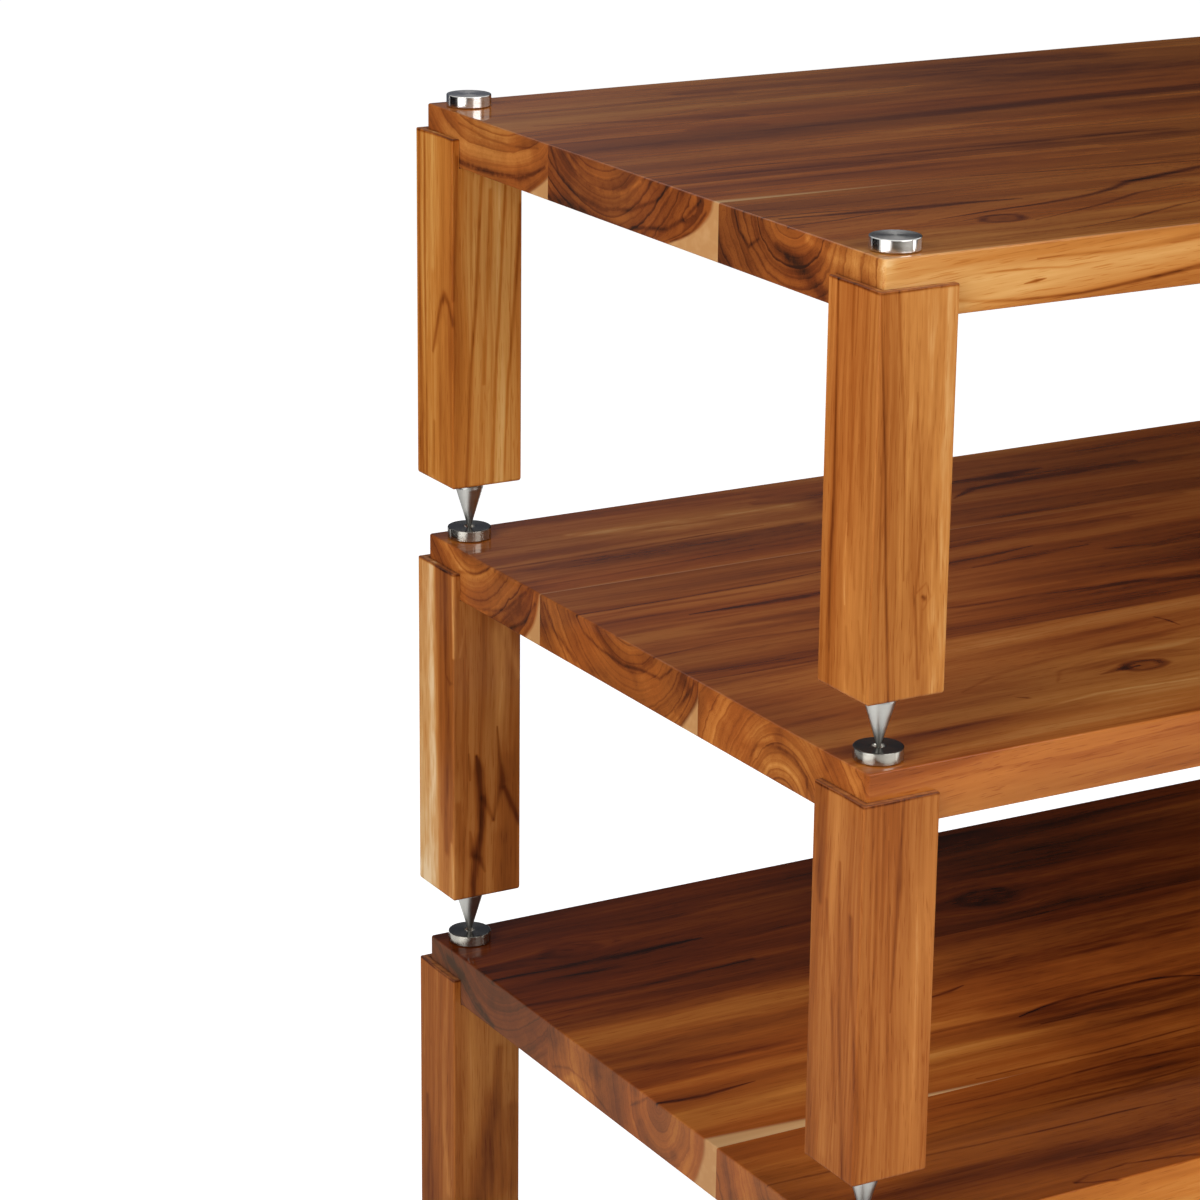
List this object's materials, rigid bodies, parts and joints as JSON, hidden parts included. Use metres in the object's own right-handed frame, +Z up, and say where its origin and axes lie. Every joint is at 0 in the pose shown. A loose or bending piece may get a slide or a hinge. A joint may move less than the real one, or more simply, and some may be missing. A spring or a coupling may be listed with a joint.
{
  "type": "audio equipment rack",
  "caption": "Free-standing hardwood audio rack: open tiers of thick glued panels on square rebated legs that stand on steel spikes seated in dimpled discs, so the tiers stack and lift apart.",
  "frame": {"origin": "on the floor under the middle of the rack", "axes": "+X along the width to the right, -Y towards the front, +Z up"},
  "size_m": [0.6494, 0.4694, 0.7564],
  "materials": {
    "panel_wood": "edge glued hardwood boards, warm red brown, glossy clear lacquer",
    "leg_wood": "straight grained hardwood, orange brown, satin clear lacquer",
    "polished_steel": "turned stainless steel, polished side and fine turned top",
    "satin_steel": "turned stainless steel, satin",
    "plated_steel": "yellow zinc plated"
  },
  "bodies": {
    "bottom_tier": {"bottom_panel": "panel_wood", "bottom_front_left_leg": "leg_wood", "bottom_front_right_leg": "leg_wood", "bottom_back_right_leg": "leg_wood", "bottom_back_left_leg": "leg_wood", "bottom_front_left_insert": "plated_steel", "bottom_front_right_insert": "plated_steel", "bottom_back_right_insert": "plated_steel", "bottom_back_left_insert": "plated_steel", "bottom_front_left_receptor": "polished_steel", "bottom_front_right_receptor": "polished_steel", "bottom_back_right_receptor": "polished_steel", "bottom_back_left_receptor": "polished_steel"},
    "middle_tier": {"middle_panel": "panel_wood", "middle_front_left_leg": "leg_wood", "middle_front_right_leg": "leg_wood", "middle_back_right_leg": "leg_wood", "middle_back_left_leg": "leg_wood", "middle_front_left_insert": "plated_steel", "middle_front_right_insert": "plated_steel", "middle_back_right_insert": "plated_steel", "middle_back_left_insert": "plated_steel", "middle_front_left_receptor": "polished_steel", "middle_front_right_receptor": "polished_steel", "middle_back_right_receptor": "polished_steel", "middle_back_left_receptor": "polished_steel"},
    "top_tier": {"top_panel": "panel_wood", "top_front_left_leg": "leg_wood", "top_front_right_leg": "leg_wood", "top_back_right_leg": "leg_wood", "top_back_left_leg": "leg_wood", "top_front_left_insert": "plated_steel", "top_front_right_insert": "plated_steel", "top_back_right_insert": "plated_steel", "top_back_left_insert": "plated_steel", "top_front_left_cap": "polished_steel", "top_front_right_cap": "polished_steel", "top_back_right_cap": "polished_steel", "top_back_left_cap": "polished_steel"},
    "bottom_front_left_foot": {"bottom_front_left_spike": "satin_steel", "floor_disc_front_left": "polished_steel"},
    "bottom_front_right_foot": {"bottom_front_right_spike": "satin_steel", "floor_disc_front_right": "polished_steel"},
    "bottom_back_right_foot": {"bottom_back_right_spike": "satin_steel", "floor_disc_back_right": "polished_steel"},
    "bottom_back_left_foot": {"bottom_back_left_spike": "satin_steel", "floor_disc_back_left": "polished_steel"},
    "middle_front_left_foot": {"middle_front_left_spike": "satin_steel"},
    "middle_front_right_foot": {"middle_front_right_spike": "satin_steel"},
    "middle_back_right_foot": {"middle_back_right_spike": "satin_steel"},
    "middle_back_left_foot": {"middle_back_left_spike": "satin_steel"},
    "top_front_left_foot": {"top_front_left_spike": "satin_steel"},
    "top_front_right_foot": {"top_front_right_spike": "satin_steel"},
    "top_back_right_foot": {"top_back_right_spike": "satin_steel"},
    "top_back_left_foot": {"top_back_left_spike": "satin_steel"}
  },
  "joints": [
    {"name": "middle_tier_lift", "type": "slide", "parent": "bottom_tier", "child": "middle_tier", "axis": [0, 0, 1], "range_m": [0, 0.12]},
    {"name": "top_tier_lift", "type": "slide", "parent": "middle_tier", "child": "top_tier", "axis": [0, 0, 1], "range_m": [0, 0.12]},
    {"name": "bottom_front_left_levelling", "type": "slide", "parent": "bottom_tier", "child": "bottom_front_left_foot", "axis": [0, 0, 1], "range_m": [0, 0.004]},
    {"name": "bottom_front_right_levelling", "type": "slide", "parent": "bottom_tier", "child": "bottom_front_right_foot", "axis": [0, 0, 1], "range_m": [0, 0.004]},
    {"name": "bottom_back_right_levelling", "type": "slide", "parent": "bottom_tier", "child": "bottom_back_right_foot", "axis": [0, 0, 1], "range_m": [0, 0.004]},
    {"name": "bottom_back_left_levelling", "type": "slide", "parent": "bottom_tier", "child": "bottom_back_left_foot", "axis": [0, 0, 1], "range_m": [0, 0.004]},
    {"name": "middle_front_left_levelling", "type": "slide", "parent": "middle_tier", "child": "middle_front_left_foot", "axis": [0, 0, 1], "range_m": [0, 0.004]},
    {"name": "middle_front_right_levelling", "type": "slide", "parent": "middle_tier", "child": "middle_front_right_foot", "axis": [0, 0, 1], "range_m": [0, 0.004]},
    {"name": "middle_back_right_levelling", "type": "slide", "parent": "middle_tier", "child": "middle_back_right_foot", "axis": [0, 0, 1], "range_m": [0, 0.004]},
    {"name": "middle_back_left_levelling", "type": "slide", "parent": "middle_tier", "child": "middle_back_left_foot", "axis": [0, 0, 1], "range_m": [0, 0.004]},
    {"name": "top_front_left_levelling", "type": "slide", "parent": "top_tier", "child": "top_front_left_foot", "axis": [0, 0, 1], "range_m": [0, 0.004]},
    {"name": "top_front_right_levelling", "type": "slide", "parent": "top_tier", "child": "top_front_right_foot", "axis": [0, 0, 1], "range_m": [0, 0.004]},
    {"name": "top_back_right_levelling", "type": "slide", "parent": "top_tier", "child": "top_back_right_foot", "axis": [0, 0, 1], "range_m": [0, 0.004]},
    {"name": "top_back_left_levelling", "type": "slide", "parent": "top_tier", "child": "top_back_left_foot", "axis": [0, 0, 1], "range_m": [0, 0.004]}
  ]
}
